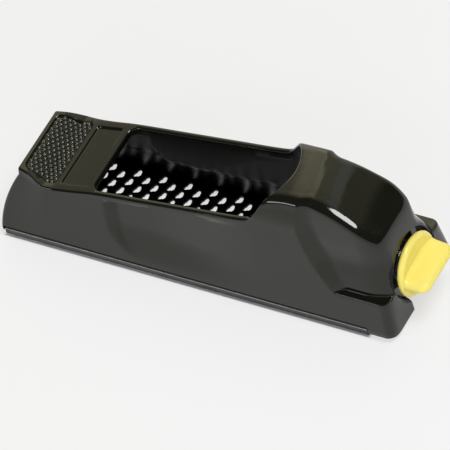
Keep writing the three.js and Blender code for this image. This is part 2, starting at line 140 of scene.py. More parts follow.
def in_grip(x, z):
    """How far a point lies in the finger recess, 0 to 1: a steep front edge, a slow rise below."""
    left, low, round_over, edge, slope = 43.4, 5.3, 13.7, 4.6, 13.5
    front = left + round_over * quarter((low + round_over - z) / round_over)
    return ease((x - front) / edge) * ease((z - low) / slope)


def plain_wall(x, z):
    """Half width of the side: it leans in to the rails, with a rounded front and the finger recess."""
    top = min(top_at(x), RAIL_END)
    upper = TOP_HALF - TOE_NARROWS * (1 - clamp(x / 18.0)) ** 1.5
    rise = clamp((z - FOOT) / (smooth_table(level_line, x) - FOOT))
    wide = mix(HALF_WIDTH, upper, rise) - smooth_table(lean_line, z)
    wide -= FRONT_ROUND * quarter((FRONT_ROUND - x) / FRONT_ROUND) * (1 - ease((z - 5) / 19))
    under_rail = ease((top - 1.9 - z) / 1.3)
    before_hump = 1 - ease((x - 60) / 42)
    return wide - GRIP_DEPTH * in_grip(x, z) * under_rail * before_hump


def scooped_wall(x, z):
    """Half width above the ledge: scooped out behind the crease and rounded into the rear face."""
    full = plain_wall(x, z)
    rear = mix(150.5, 149.0, clamp((z - 17) / 19))
    taper = smooth_table(taper_line, z) * max(0.0, (x - 140.0) / 8.5) ** 2
    wall = smooth_table(scoop_line, z)
    wall -= taper + REAR_ROUND * quarter((x - (rear - REAR_ROUND)) / REAR_ROUND)
    t = clamp((x - smooth_table(crease_line, z)) / CREASE_WIDTH)
    return min(full, mix(full, wall, 1 - (1 - t) ** 2))


def lower_wall(x, z):
    """Half width below the ledge, where the heel's cheeks have a rounded rear edge."""
    return plain_wall(x, z) - HEEL_ROUND * quarter((x - (BODY_END - HEEL_ROUND)) / HEEL_ROUND)


def casting_section(x):
    """Points of one half section, from the middle of the floor to the middle of the top."""
    top = top_at(x)
    inset = (NOSE_ROUND * quarter(1 - x / NOSE_ROUND)
             + TAIL_ROUND * quarter(1 - (BODY_END - x) / TAIL_ROUND))
    top -= inset
    edge = mix(0.9, 2.9, ease((x - HUMP_START) / 9.0))
    points = [(0.0, BODY_FLOOR), (lower_wall(x, BODY_FLOOR) - inset - 0.4, BODY_FLOOR),
              (lower_wall(x, 1.5) - inset, 1.5)]
    for i in range(1, 25):
        z = mix(1.5, 15.2, i / 24)
        points.append((lower_wall(x, z) - inset, z))
    # The ledge round the heel: a rounded outer edge, a flat top and a fillet up to the scooped wall
    deep = lower_wall(x, LEDGE) - scooped_wall(x, LEDGE + 0.9)
    step = ease(deep / 1.6)
    outer, inner = lower_wall(x, LEDGE), scooped_wall(x, LEDGE + 1.0)
    shape = []
    for i in range(5):
        turn = math.pi / 8 * i
        shape.append((outer - LEDGE_ROUND * (1 - math.cos(turn)),
                      LEDGE - LEDGE_ROUND + LEDGE_ROUND * math.sin(turn)))
    for i in range(5):
        turn = math.pi / 8 * i
        shape.append((inner + LEDGE_ROUND * (1 - math.sin(turn)),
                      LEDGE + LEDGE_ROUND * (1 - math.cos(turn))))
    for i, (y, z) in enumerate(shape):
        level = mix(15.6, 17.2, i / 9)
        plain = mix(lower_wall(x, level), scooped_wall(x, level), ease(i / 9))
        points.append((mix(plain, y, step) - inset, mix(level, z, step)))
    foot = max(points[-1][1], 17.1) + 0.35
    shoulder = max(foot + 0.6, top - edge)
    for i in range(1, 23):
        z = mix(foot, shoulder, i / 22)
        points.append((scooped_wall(x, z) - inset, z))
    corner = points[-1][0]
    crown = 0.4 * ease((x - 107) / 8) * (1 - ease((x - 144) / 5))
    broad = edge * mix(1.0, 1.6, ease((x - 106) / 8))
    flat = corner - broad
    rounded = min(edge, max(top - shoulder, 0.05))
    for i in range(1, 9):
        turn = math.pi / 16 * i
        points.append((corner - broad * (1 - math.cos(turn)),
                       shoulder + (rounded - crown) * math.sin(turn)))
    for i in range(1, 9):
        y = flat * (1 - i / 8)
        points.append((y, shoulder + rounded - crown * (y / flat) ** 2))
    return [(x + toe_shift(x, z), max(y, 0.0) if i else 0.0, z) for i, (y, z) in enumerate(points)]


def loft(name, sections):
    """A closed solid from half sections that run from y = 0 below to y = 0 above."""
    half = len(sections[0]) - 1
    ring = 2 * half
    verts, faces = [], []
    for section in sections:
        verts += section
        verts += [(x, -y, z) for x, y, z in reversed(section[1:-1])]
    for i in range(len(sections) - 1):
        for j in range(ring):
            a, b = i * ring + j, i * ring + (j + 1) % ring
            faces.append((a, b, b + ring, a + ring))
    for start in (0, (len(sections) - 1) * ring):
        for j in range(half):
            a, b = start + j, start + j + 1
            c, d = start + ring - j - 1, start + (ring - j) % ring
            faces.append((a, b, c) if a == d else (a, b, d) if b == c else (a, b, c, d))
    return mesh_object(name, verts, faces)


def mesh_object(name, verts, faces, middle=MIDDLE, base=TOOTH):
    """A mesh object from millimetres, moved to the shared frame, with its faces turned outwards."""
    mesh = bpy.data.meshes.new(name)
    mesh.from_pydata([((x - middle) / 1000, y / 1000, (z + base) / 1000) for x, y, z in verts], [], faces)
    built = bmesh.new()
    built.from_mesh(mesh)
    bmesh.ops.recalc_face_normals(built, faces=built.faces)
    built.to_mesh(mesh)
    built.free()
    piece = bpy.data.objects.new(name, mesh)
    bpy.context.scene.collection.objects.link(piece)
    return piece


def solid_block(name, x0, x1, y0, y1, z0, z1):
    corners = [(x, y, z) for x in (x0, x1) for y in (y0, y1) for z in (z0, z1)]
    return mesh_object(name, corners, [(0, 1, 3, 2), (4, 6, 7, 5), (0, 4, 5, 1), (2, 3, 7, 6),
                                       (0, 2, 6, 4), (1, 5, 7, 3)])


def ring_walls(rings, count):
    """Faces between neighbouring rings of the same number of points."""
    walls = []
    for i in range(rings - 1):
        for k in range(count):
            a, b = i * count + k, i * count + (k + 1) % count
            walls.append((a, b, b + count, a + count))
    return walls


def ring_ends(rings, count):
    return [tuple(range(count)), tuple(range((rings - 1) * count, rings * count))]


def turned(name, profile, sides):
    """A closed solid turned about the screw's axis from (radius, x) points that start and end at 0."""
    verts, rings = [], len(profile) - 2
    for radius, x in profile[1:-1]:
        for k in range(sides):
            turn = 2 * math.pi * k / sides
            verts.append((x, radius * math.cos(turn), AXIS + radius * math.sin(turn)))
    return mesh_object(name, verts, ring_walls(rings, sides) + ring_ends(rings, sides))


def cut(body, cutter, operation='DIFFERENCE'):
    """Cuts or joins with Blender's manifold solver and keeps the plain result."""
    tool = body.modifiers.new("cut", 'BOOLEAN')
    tool.operation, tool.solver, tool.object = operation, 'MANIFOLD', cutter
    bpy.context.view_layer.update()
    done = bpy.data.meshes.new_from_object(body.evaluated_get(bpy.context.evaluated_depsgraph_get()))
    body.modifiers.clear()
    old, body.data = body.data, done
    bpy.data.meshes.remove(old)
    bpy.data.objects.remove(cutter, do_unlink=True)


def spread(*runs):
    """Stations from (start, end, spacing) runs."""
    places = []
    for start, end, spacing in runs:
        count = max(1, round((end - start) / spacing))
        places += [start + (end - start) * i / count for i in range(count)]
    return places + [runs[-1][1]]


casting = loft("casting_body", [casting_section(x) for x in spread(
    (0, 0.6, 0.1), (0.6, 1.6, 0.2), (1.6, 8, 0.6), (8, 26, 0.7), (26, 42, 1.0), (42, 60, 0.8),
    (60, 100, 1.6), (100, 118, 0.6), (118, 136, 0.6), (136, 146, 0.8), (146, 149.6, 0.25),
    (149.6, BODY_END, 0.1))])
HOLLOW_START = 9
HOLLOW_FLOOR = BODY_FLOOR - 5
ROOF = 2.4
ROOF_ROUND = 2.0


def hollow_section(x):
    """The hollow's half section: a wall's thickness inside the outside, open below."""
    roof = top_at(x) - ROOF if x < HUMP_START else top_at(x + ROOF) - ROOF
    points = [(x, 0.0, HOLLOW_FLOOR)]
    for i in range(25):
        z = mix(HOLLOW_FLOOR, roof - ROOF_ROUND, i / 24)
        wall = min(plain_wall(x, max(z, BODY_FLOOR)), scooped_wall(x, z + 2) if z + 2 > LEDGE else 99)
        points.append((x, wall - WALL, z))
    corner = points[-1][1]
    for i in range(1, 7):
        turn = math.pi / 12 * i
        points.append((x, corner - ROOF_ROUND * (1 - math.cos(turn)),
                       roof - ROOF_ROUND + ROOF_ROUND * math.sin(turn)))
    return points + [(x, 0.0, roof)]


cut(casting, loft("hollow", [hollow_section(x) for x in spread(
    (HOLLOW_START, 40, 1.5), (40, 64, 1.0), (64, 100, 2.0), (100, 120, 0.8), (120, BLADE_END + 0.6, 1.2))]))


def extruded(name, outline, stations):
    """A solid with one (y, z) outline along x, divided at the stations."""
    rings, count = len(stations), len(outline)
    verts = [(x, y, z) for x in stations for y, z in outline]
    return mesh_object(name, verts, ring_walls(rings, count) + ring_ends(rings, count))


def window_edge():
    """The opening's outline seen from above, one side, from the middle of the front to the lip."""
    side, front, corner = 13.8, 38.7, 3.0
    lip, lip_half, lip_curve = 114.1, 10.6, 3.7
    points = [(front, side * i / 8) for i in range(7)]
    for i in range(7):
        turn = math.pi / 12 * i
        points.append((front + corner * (1 - math.cos(turn)), side - corner + corner * math.sin(turn)))
    points += [(x, side) for x in spread((43, 100, 2.0), (100, 103.4, 0.7))]
    mouth = [(103.4, 13.8), (105.0, 13.65), (106.6, 13.2), (108.2, 12.3), (109.4, 11.5), (110.4, 10.6)]
    points += [(x, smooth_table(mouth, x)) for x in spread((103.9, 110.4, 0.5))]
    across = [lip_half - lip_half * i / 14 for i in range(1, 15)]
    return points + [(lip - lip_curve * (y / lip_half) ** 2, y) for y in across]


def window_cutter():
    """The opening as a solid whose wall flares over the top edge, which rounds the rails' inner edge."""
    half = window_edge()
    outline = half + [(x, -y) for x, y in reversed(half[1:-1])]
    count = len(outline)
    levels = [(0.0, -40.0), (0.0, -0.8), (0.1, -0.45), (0.28, -0.2), (0.6, -0.03), (1.2, 0.25), (1.8, 9.0)]
    verts = []
    for out, up in levels:
        for k, (x, y) in enumerate(outline):
            (xa, ya), (xb, yb) = outline[k - 1], outline[(k + 1) % count]
            length = math.hypot(xb - xa, yb - ya)
            nx, ny = (ya - yb) / length, (xb - xa) / length
            level = smooth_table(top_line, x) if up > -30 else 24.0
            place = 16.0 if up < -30 else level + up
            verts.append((x + nx * out, y + ny * out, place))
    return mesh_object("window", verts, ring_walls(len(levels), count) + ring_ends(len(levels), count))


cut(casting, window_cutter())

# Seats for the blade: a rebate along both lower edges for its flanges, room in the toe for their front
# ends to rock in, and a pocket across the toe for the hooked end. CLEAR lies outside the casting.
CLEAR = -5
SEAT_START = BLADE_START - 0.75
SEAT_SIDE = 19.9
HOOK_BACK = 1.8
seat = [(SEAT_SIDE, CLEAR), (SEAT_SIDE, 3.5), (20.25, 3.5), (21.3, 4.75), (26, 4.75), (26, CLEAR)]
for side in (-1, 1):
    cut(casting, extruded("rebate", [(side * y, z) for y, z in seat], [SEAT_START, BLADE_END + 0.3]))
    for name, start, end, half, height in (("toe_rebate", CLEAR, HOOK_BACK, 16.2, 2.0),
                                           ("rocking_room", SEAT_START, 2.2, SEAT_SIDE, 3.9)):
        y0, y1 = sorted((side * half, side * 26.0))
        cut(casting, solid_block(name, start, end, y0, y1, CLEAR, height))
cut(casting, solid_block("hook_seat", CLEAR, HOOK_BACK, -16.4, 16.4, CLEAR, 4.6))

# Seats for the knob: a slot and a round pocket in the rear face, the screw's bore through the bulkhead
# and the room for the clip behind it, all on the screw's axis.
POCKET_FLOOR = 147.3
POCKET_RADIUS = 13.4
cut(casting, solid_block("knob_slot", 145.5, 156, -6.9, 6.9, CLEAR, AXIS))
cut(casting, turned("knob_pocket", [
    (0, POCKET_FLOOR), (12.0, POCKET_FLOOR), (12.2, 147.5), (12.2, 149.2), (12.5, 149.9),
    (POCKET_RADIUS, BODY_END), (POCKET_RADIUS, 156), (0, 156)], 96))
cut(casting, turned("screw_bore", [(0, 136), (3.09, 136), (3.09, 152), (0, 152)], 48))
cut(casting, turned("clip_room", [(0, 138), (6.1, 138), (6.1, 141.5), (0, 141.5)], 48))

# The thumb pad and the band behind it: two fields of the same casting, set a little below their
# borders, with rounded corners. The pad widens towards the window.
FIELD_DEPTH = 0.65
FIELD_WALL = 0.9
FINE_ZONE = 2.4
MARGIN = 0.15
PROUD = 0.02


def field_cutter(name, start, end, half_start, half_end, corner):
    """A shallow field with rounded corners and softly curved walls, as the die leaves them."""
    sections = []
    for x in spread((start - MARGIN, start + FINE_ZONE, 0.15), (start + FINE_ZONE, end - FINE_ZONE, 0.6),
                    (end - FINE_ZONE, end + MARGIN, 0.15)):
        half = mix(half_start, half_end, clamp((x - start) / (end - start)))
        top = smooth_table(top_line, x)
        section = []
        for i in range(31):
            y = ((half - FINE_ZONE) * i / 12 if i < 12
                 else mix(half - FINE_ZONE, half + MARGIN, (i - 12) / 18))
            ahead, beside = min(x - start, end - x), half - y
            if ahead < corner and beside < corner:
                inside = corner - math.hypot(corner - ahead, corner - beside)
            else:
                inside = min(ahead, beside)
            section.append((x, y, top + PROUD - (FIELD_DEPTH + PROUD) * ease(inside / FIELD_WALL)))
        sections.append(section + [(x, half + MARGIN, top + 6), (x, 0.0, top + 6)])
    return loft(name, sections)


cut(casting, field_cutter("pad_field", 10.2, 23.5, 12.0, 14.3, 2.4))
cut(casting, field_cutter("band_field", 24.8, 36.4, 13.3, 13.3, 1.6))


def smooth_faces(piece, degrees):
    """Welds a piece and shades it smooth, with a crease wherever faces meet at more than the angle."""
    built = bmesh.new()
    built.from_mesh(piece.data)
    bmesh.ops.remove_doubles(built, verts=built.verts, dist=2e-6)
    bmesh.ops.dissolve_degenerate(built, edges=built.edges, dist=1e-6)
    for face in built.faces:
        face.smooth = True
    limit = math.radians(degrees)
    for edge in built.edges:
        edge.smooth = len(edge.link_faces) == 2 and edge.calc_face_angle(0.0) < limit
    built.to_mesh(piece.data)
    built.free()


smooth_faces(casting, 30)


def linear(code):
    """An sRGB hex colour as the linear values that the nodes take."""
    parts = [int(code[i:i + 2], 16) / 255 for i in (0, 2, 4)]
    return tuple(c / 12.92 if c <= 0.04045 else ((c + 0.055) / 1.055) ** 2.4 for c in parts) + (1.0,)


def new_material(name):
    """An empty material, and its node tree."""
    material = bpy.data.materials.new(name)
    material.use_nodes = True
    material.node_tree.nodes.clear()
    return material, material.node_tree


def add(kind, inputs=None, **settings):
    """Adds one node to the current tree, sets its fields, and gives its inputs values or links."""
    node = tree.nodes.new(kind)
    for field, value in settings.items():
        setattr(node, field, value)
    for socket, value in (inputs or {}).items():
        if isinstance(value, bpy.types.NodeSocket):
            tree.links.new(node.inputs[socket], value)
        else:
            node.inputs[socket].default_value = value
    return node


def maths(operation, *terms):
    """The result of one sum, from numbers or other nodes' outputs."""
    return add('ShaderNodeMath', dict(enumerate(terms)), operation=operation).outputs[0]


def noise(place, scale, detail, roughness=0.5):
    """Cloudy values round 0.5."""
    return add('ShaderNodeTexNoise', {'Vector': place, 'Scale': scale, 'Detail': detail,
                                      'Roughness': roughness}).outputs['Fac']


def ranged(value, start, end, low=0.0, high=1.0):
    """A value taken from one range to another and held inside it."""
    return add('ShaderNodeMapRange', {'Value': value, 'From Min': start, 'From Max': end,
                                      'To Min': low, 'To Max': high}).outputs[0]


def blend(share, first, second):
    """A colour between two, from the first at 0 to the second at 1."""
    return add('ShaderNodeMix', {'Factor': share, 6: first, 7: second}, data_type='RGBA').outputs[2]


def bump(height, strength, distance):
    """The surface's direction where a fine relief tilts it."""
    return add('ShaderNodeBump', {'Height': height, 'Strength': strength,
                                  'Distance': distance}).outputs['Normal']


# Stoving enamel, baked on to the casting: a smooth black film with a warm, slightly brown depth, a
# mirror gloss that swims a little (orange peel, about 3 mm apart), and a few fine specks of dust.
enamel, tree = new_material("black_stoving_enamel")
place = add('ShaderNodeTexCoord').outputs['Object']
peel = noise(place, 330.0, 2.0)
haze = noise(place, 70.0, 4.0, 0.6)
specks = ranged(noise(place, 2600.0, 1.0), 0.70, 0.78, 0.0, 0.16)
film = add('ShaderNodeBsdfPrincipled', {
    'Base Color': blend(specks, blend(haze, linear("0C0C0A"), linear("151410")), linear("6B685C")),
    'IOR': 1.49, 'Specular Tint': (1.0, 1.0, 0.93, 1.0),
    'Roughness': ranged(haze, 0.3, 0.7, 0.05, 0.10), 'Normal': bump(peel, 0.05, 0.0005)})
add('ShaderNodeOutputMaterial', {'Surface': film.outputs['BSDF']})

# Inside the hollow and the knob's pocket the enamel is darker and duller, painted shade for these
# recesses, on a rough cast skin about 1 mm between its bumps. Faces are told apart by where they lie.
shade_darkened_enamel, tree = new_material("enamel_darkened_for_painted_shade")
place = add('ShaderNodeTexCoord').outputs['Object']
cast = noise(place, 900.0, 4.0, 0.6)
film = add('ShaderNodeBsdfPrincipled', {
    'Base Color': blend(cast, linear("060605"), linear("0E0D0B")),
    'IOR': 1.32, 'Roughness': 0.3, 'Normal': bump(cast, 0.07, 0.0003)})
add('ShaderNodeOutputMaterial', {'Surface': film.outputs['BSDF']})

casting.data.materials.clear()
casting.data.materials.append(enamel)
casting.data.materials.append(shade_darkened_enamel)
# Faces in the hollow and the pocket take the darker enamel, painted shade for these recesses.
for face in casting.data.polygons:
    x, y, z = face.center.x * 1000 + MIDDLE, abs(face.center.y) * 1000, face.center.z * 1000 - TOOTH
    outside = min(plain_wall(x, z), scooped_wall(x, z))
    hollow = (HOLLOW_START < x < BLADE_END + 0.8 and 1.2 < z < top_at(x) - 0.9 and y < outside - 1.2
              and face.normal.z < 0.3)
    pocket = (x > POCKET_FLOOR - 0.3 and math.hypot(y, z - AXIS) < POCKET_RADIUS - 0.02
              and abs(face.normal.x) < 0.95)
    face.material_index = 1 if pocket or hollow else 0
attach(casting, "frame")
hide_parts("body_casting")

# Knurls on the thumb pad: rows of small studs cast with the body, every other row set off by half a
# pitch, so that the thumb doesn't slip. A grid is laid over the pad and each point is dropped on it.
# Their finish is paler than the enamel, a painted glint on each stud, with a softer, stronger shine.
KNURL_PITCH_X = 1.8
KNURL_PITCH_Y = 1.43
STUD_RADIUS = 0.88
STUD_HEIGHT = 0.78
PAD_FRONT, PAD_FRONT_HALF = 11.5, 11.3
PAD_BACK, PAD_BACK_HALF = 22.7, 13.7

# A paler base colour than the enamel's: painted glints on the studs.
glint_painted_enamel, tree = new_material("enamel_paled_for_painted_glints")
place = add('ShaderNodeTexCoord').outputs['Object']
film = add('ShaderNodeBsdfPrincipled', {
    'Base Color': blend(noise(place, 700.0, 2.0), linear("1E1E19"), linear("38382F")),
    'IOR': 1.8, 'Roughness': 0.13})
add('ShaderNodeOutputMaterial', {'Surface': film.outputs['BSDF']})


def new_nodes(name, sizes, tools=()):
    """A geometry node tree with named inputs for its sizes, its tools and the material of the result."""
    tree = bpy.data.node_groups.new(name, 'GeometryNodeTree')
    tree.interface.new_socket(name="Geometry", in_out='OUTPUT', socket_type='NodeSocketGeometry')
    for kind, names in (('Geometry', ["Geometry"]), ('Float', sizes), ('Object', tools),
                        ('Material', ["Finish"])):
        for name in names:
            tree.interface.new_socket(name=name, in_out='INPUT', socket_type='NodeSocket' + kind)
    return tree


def grown(piece, tree, values):
    """Runs a node tree on a piece with its named inputs set, and keeps the plain mesh."""
    tool = piece.modifiers.new(tree.name, 'NODES')
    tool.node_group = tree
    for item in tree.interface.items_tree:
        if item.item_type == 'SOCKET' and item.in_out == 'INPUT' and item.name in values:
            tool[item.identifier] = values[item.name]
    bpy.context.view_layer.update()
    done = bpy.data.meshes.new_from_object(piece.evaluated_get(bpy.context.evaluated_depsgraph_get()))
    piece.modifiers.clear()
    old, piece.data = piece.data, done
    bpy.data.meshes.remove(old)
    bpy.data.node_groups.remove(tree)


def pad_floor():
    """The pad's sunk floor as a grid, facing up, for the studs to be dropped on."""
    rows, cols, verts, faces = 30, 12, [], []
    for i in range(rows + 1):
        x = mix(9.6, 24.2, i / rows)
        for j in range(cols + 1):
            verts.append((x, mix(-15.0, 15.0, j / cols), smooth_table(top_line, x) - FIELD_DEPTH))
    for i in range(rows):
        for j in range(cols):
            a = i * (cols + 1) + j
            faces.append((a, a + cols + 1, a + cols + 2, a + 1))
    floor = mesh_object("pad_knurls", verts, faces)
    if floor.data.polygons[0].normal.z < 0:
        floor.data.flip_normals()
    return floor


tree = new_nodes("knurled_pad", ["Pitch along", "Pitch across", "Front", "Back", "Half width at front",
                                 "Half width at back", "Base", "Height"])
entry = add('NodeGroupInput').outputs


rows = maths('ADD', maths('FLOOR', maths('DIVIDE', maths('SUBTRACT', entry['Back'], entry['Front']),
                                         entry['Pitch along'])), 1.0)
cols = maths('ADD', maths('FLOOR', maths('DIVIDE', maths('MULTIPLY', entry['Half width at back'], 2.0),
                                         entry['Pitch across'])), 2.0)
dots = add('GeometryNodePoints', {'Count': maths('MULTIPLY', rows, cols)})
index = add('GeometryNodeInputIndex').outputs[0]
row = maths('FLOOR', maths('DIVIDE', index, cols))
col = maths('SUBTRACT', index, maths('MULTIPLY', row, cols))
shift = maths('MULTIPLY', maths('MODULO', col, 2.0), 0.5)
along = maths('ADD', entry['Front'], maths('MULTIPLY', maths('ADD', row, shift), entry['Pitch along']))
middle = maths('DIVIDE', maths('SUBTRACT', cols, 1.0), 2.0)
across = maths('MULTIPLY', maths('SUBTRACT', col, middle), entry['Pitch across'])
above = add('ShaderNodeCombineXYZ', {'X': along, 'Y': across, 'Z': 0.05})
drop = add('GeometryNodeRaycast', {
    'Target Geometry': entry['Geometry'], 'Source Position': above.outputs[0],
    'Ray Direction': (0.0, 0.0, -1.0), 'Ray Length': 1.0})
placed = add('GeometryNodeSetPosition', {'Geometry': dots.outputs[0],
                                         'Position': drop.outputs['Hit Position']})
share = maths('DIVIDE', maths('SUBTRACT', along, entry['Front']),
              maths('SUBTRACT', entry['Back'], entry['Front']))
widening = maths('SUBTRACT', entry['Half width at back'], entry['Half width at front'])
width = maths('ADD', entry['Half width at front'], maths('MULTIPLY', share, widening))
outside = maths('ADD', maths('GREATER_THAN', maths('ABSOLUTE', across), width),
                maths('GREATER_THAN', along, maths('ADD', entry['Back'], 0.0003)))
kept = add('GeometryNodeDeleteGeometry', {'Geometry': placed.outputs[0], 'Selection': outside})
ball = add('GeometryNodeMeshUVSphere', {'Segments': 8, 'Rings': 6, 'Radius': 1.0})
flattened = add('ShaderNodeCombineXYZ', {'X': entry['Base'], 'Y': entry['Base'], 'Z': entry['Height']})
low_dome = add('GeometryNodeTransform', {'Geometry': ball.outputs[0], 'Scale': flattened.outputs[0]})
stud = add('GeometryNodeSetShadeSmooth', {'Geometry': low_dome.outputs[0], 'Shade Smooth': True})
upright_on = add('FunctionNodeAlignEulerToVector', {'Vector': drop.outputs['Hit Normal']}, axis='Z')
studs = add('GeometryNodeInstanceOnPoints', {'Points': kept.outputs[0], 'Instance': stud.outputs[0],
                                             'Rotation': upright_on.outputs[0]})
real = add('GeometryNodeRealizeInstances', {'Geometry': studs.outputs[0]})
painted = add('GeometryNodeSetMaterial', {'Geometry': real.outputs[0], 'Material': entry['Finish']})
add('NodeGroupOutput', {0: painted.outputs[0]})

knurls = pad_floor()
grown(knurls, tree, {"Pitch along": KNURL_PITCH_X / 1000, "Pitch across": KNURL_PITCH_Y / 1000,
                     "Front": (PAD_FRONT - MIDDLE) / 1000, "Back": (PAD_BACK - MIDDLE) / 1000,
                     "Half width at front": PAD_FRONT_HALF / 1000,
                     "Half width at back": PAD_BACK_HALF / 1000, "Base": STUD_RADIUS / 1000,
                     "Height": STUD_HEIGHT / 1000, "Finish": glint_painted_enamel})
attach(knurls, "frame")

# Rasp blade: hardened spring steel sheet, pressed into a shallow channel that slides over the body's
# lower edges, and turned up at both ends to be hooked. Its rows of holes are punched from above, and
# each punch pushes a short ramp down that ends in a cutting tooth under the hole's front edge.
SHEET = 0.8
FLANGE = 3.2
BEND = 1.1
FLAT = HALF_WIDTH - BEND
FIRST_HOLE = (42.06, 15.74)
ROW_ALONG = (9.88, 0.12)
ROW_ACROSS = (4.35, -2.05)
ROWS_HALF = 16.5
PLAIN_END = 7


def channel_profile():
    """The channel's cross-section: outside round the bends, then back along the inside."""
    outer, inner, tight = [], [], BEND - SHEET
    for i in range(7):
        turn = math.pi / 12 * i
        outer.append((FLAT + BEND * math.sin(turn), BEND - BEND * math.cos(turn)))
        inner.append((FLAT + tight * math.sin(turn), BEND - tight * math.cos(turn)))
    edge = [(21.0, FLANGE - 0.2), (20.85, FLANGE), (20.35, FLANGE), (20.2, FLANGE - 0.2)]
    right = outer + edge + inner[::-1]
    return right + [(-y, z) for y, z in reversed(right)]


def upright(name, x0, x1, height, half=16, corner=1.4):
    """A turned-up end: a plate across the blade with rounded upper corners."""
    turns = [math.pi / 12 * i for i in range(7)]
    side = [(half - corner + corner * math.cos(turn), height - corner + corner * math.sin(turn))
            for turn in turns]
    outline = [(half, 0.3)] + side + [(-y, z) for y, z in reversed(side)] + [(-half, 0.3)]
    return extruded(name, outline, [x0, x1])


blade = extruded("blade_sheet", channel_profile(), spread((BLADE_START, BLADE_END, 10)))
cut(blade, upright("front_hook", BLADE_START, BLADE_START + SHEET, 3.6), 'UNION')
cut(blade, upright("rear_hook", BLADE_END - SHEET, BLADE_END, 4.4), 'UNION')


# Spring steel, hardened black: dark scale with fine rolling lines along the sheet, 0.4 mm apart so that
# they show, near black along the bottom as painted shade for the contact shadow under the blade's edges,
# and bare bright metal on the ground teeth and the sheared upper edges.
spring_steel, tree = new_material("blackened_spring_steel")
place = add('ShaderNodeTexCoord').outputs['Object']
height = add('ShaderNodeSeparateXYZ', {'Vector': place}).outputs['Z']
drawn = add('ShaderNodeMapping', {'Vector': place, 'Scale': (60.0, 2500.0, 400.0)})
lines = noise(drawn.outputs[0], 1.0, 3.0)
cloud = noise(place, 160.0, 5.0, 0.65)
scale = blend(cloud, blend(lines, linear("3A3B38"), linear("5A5B57")), linear("2A2927"))
# Near black below 2.4 mm above the floor: painted shade for the contact shadow under the blade's edges.
scale_with_painted_shade_below = blend(ranged(height, 0.0024, 0.0028), linear("121210"), scale)
bright = maths('MAXIMUM', ranged(height, 0.0007, 0.0001, 0.0, 0.9),
               ranged(height, 0.0037, 0.0039, 0.0, 0.9))
steel = add('ShaderNodeBsdfPrincipled', {
    'Base Color': blend(bright, scale_with_painted_shade_below, linear("A9AAA7")), 'Metallic': 0.85,
    'Roughness': ranged(cloud, 0.3, 0.7, 0.26, 0.46), 'Normal': bump(lines, 0.15, 0.0001)})
add('ShaderNodeOutputMaterial', {'Surface': steel.outputs['BSDF']})

# Punch shapes, one hole's worth each, which the node tree repeats over the sheet: the hole itself, a
# shallow bowl for the ramp beside it, and the wedge of the tooth under its front edge. Each is drawn in
# the punch's own directions, u along the cutting edge and v away from it.
SLANT = math.atan2(0.89, 0.45)
BOWL_SIDES, BOWL_RINGS, BOWL_RADIUS, BOWL_DEPTH = 14, 5, 1.5, 0.42


def punched(name, points, faces):
    """One punch shape about its own origin, turned from the punch's directions into the sheet's."""
    return mesh_object(name, [(u * math.cos(SLANT) + v * math.sin(SLANT),
                               u * math.sin(SLANT) - v * math.cos(SLANT), z) for u, v, z in points],
                       faces, middle=0.0, base=0.0)


hole = [(-1.46, -1.08), (-0.66, -1.34), (0.0, -1.4), (0.24, -1.12), (0.52, -1.44), (1.39, -1.54),
        (1.86, -1.2), (1.66, 0.0), (1.2, 0.45), (0.45, 0.74), (-0.45, 0.66), (-1.2, 0.18), (-1.7, -0.4)]
punch = punched("punch", [(u, v, z) for z in (-3, 3) for u, v in hole],
                ring_ends(2, len(hole)) + ring_walls(2, len(hole)))

bowl = [(0.0, 0.0, -BOWL_DEPTH)]
for i in range(1, BOWL_RINGS + 1):
    turn = math.pi / 2 * i / BOWL_RINGS
    for k in range(BOWL_SIDES):
        around = 2 * math.pi * k / BOWL_SIDES
        bowl.append((BOWL_RADIUS * math.sin(turn) * math.cos(around),
                     BOWL_RADIUS * math.sin(turn) * math.sin(around), -BOWL_DEPTH * math.cos(turn)))
bowl += [(u, v, 1.0) for u, v, z in bowl[-BOWL_SIDES:]]
around_bowl = [tuple(1 + k for k in face) for face in ring_walls(BOWL_RINGS + 1, BOWL_SIDES)]
bottom = [(0, 1 + k, 1 + (k + 1) % BOWL_SIDES) for k in range(BOWL_SIDES)]
ramp = punched("ramp", [(u + 0.1, v + 1.75, z) for u, v, z in bowl],
               bottom + around_bowl + [tuple(range(len(bowl) - BOWL_SIDES, len(bowl)))])

wedge = []
edge = ((-1.5, 0.28), (-0.9, 0.6), (-0.2, 0.84), (0.5, 0.86), (1.2, 0.56), (1.7, 0.1))
for u, v in edge:
    rise = 1 - (u / 1.75) ** 2
    for out, z in ((0.0, 0.5), (0.0, 0.5 - 1.28 * rise), (0.22, 0.5 - 1.15 * rise), (1.25, 0.5)):
        wedge.append((u, v + out, z))
tooth = punched("tooth", wedge, ring_ends(len(edge), 4) + ring_walls(len(edge), 4))

tree = new_nodes("punched_rows", ["First x", "First y", "Row x", "Row y", "Step x", "Step y", "Front",
                                  "Back", "Half width", "Sheet top"], ["Punch", "Ramp", "Tooth"])
entry = add('NodeGroupInput').outputs
COLS, ROWS = 22, 17
dots = add('GeometryNodePoints', {'Count': COLS * ROWS})
index = add('GeometryNodeInputIndex').outputs[0]
row = maths('FLOOR', maths('DIVIDE', index, float(COLS)))
col = maths('SUBTRACT', maths('SUBTRACT', index, maths('MULTIPLY', row, float(COLS))), COLS / 2)
back = maths('FLOOR', maths('DIVIDE', maths('MULTIPLY', row, entry['Step x']), entry['Row x']))
along_count = maths('SUBTRACT', col, back)
x_at = maths('ADD', entry['First x'], maths('ADD', maths('MULTIPLY', along_count, entry['Row x']),
                                            maths('MULTIPLY', row, entry['Step x'])))
y_at = maths('ADD', entry['First y'], maths('ADD', maths('MULTIPLY', along_count, entry['Row y']),
                                            maths('MULTIPLY', row, entry['Step y'])))
spot = add('ShaderNodeCombineXYZ', {'X': x_at, 'Y': y_at, 'Z': entry['Sheet top']})
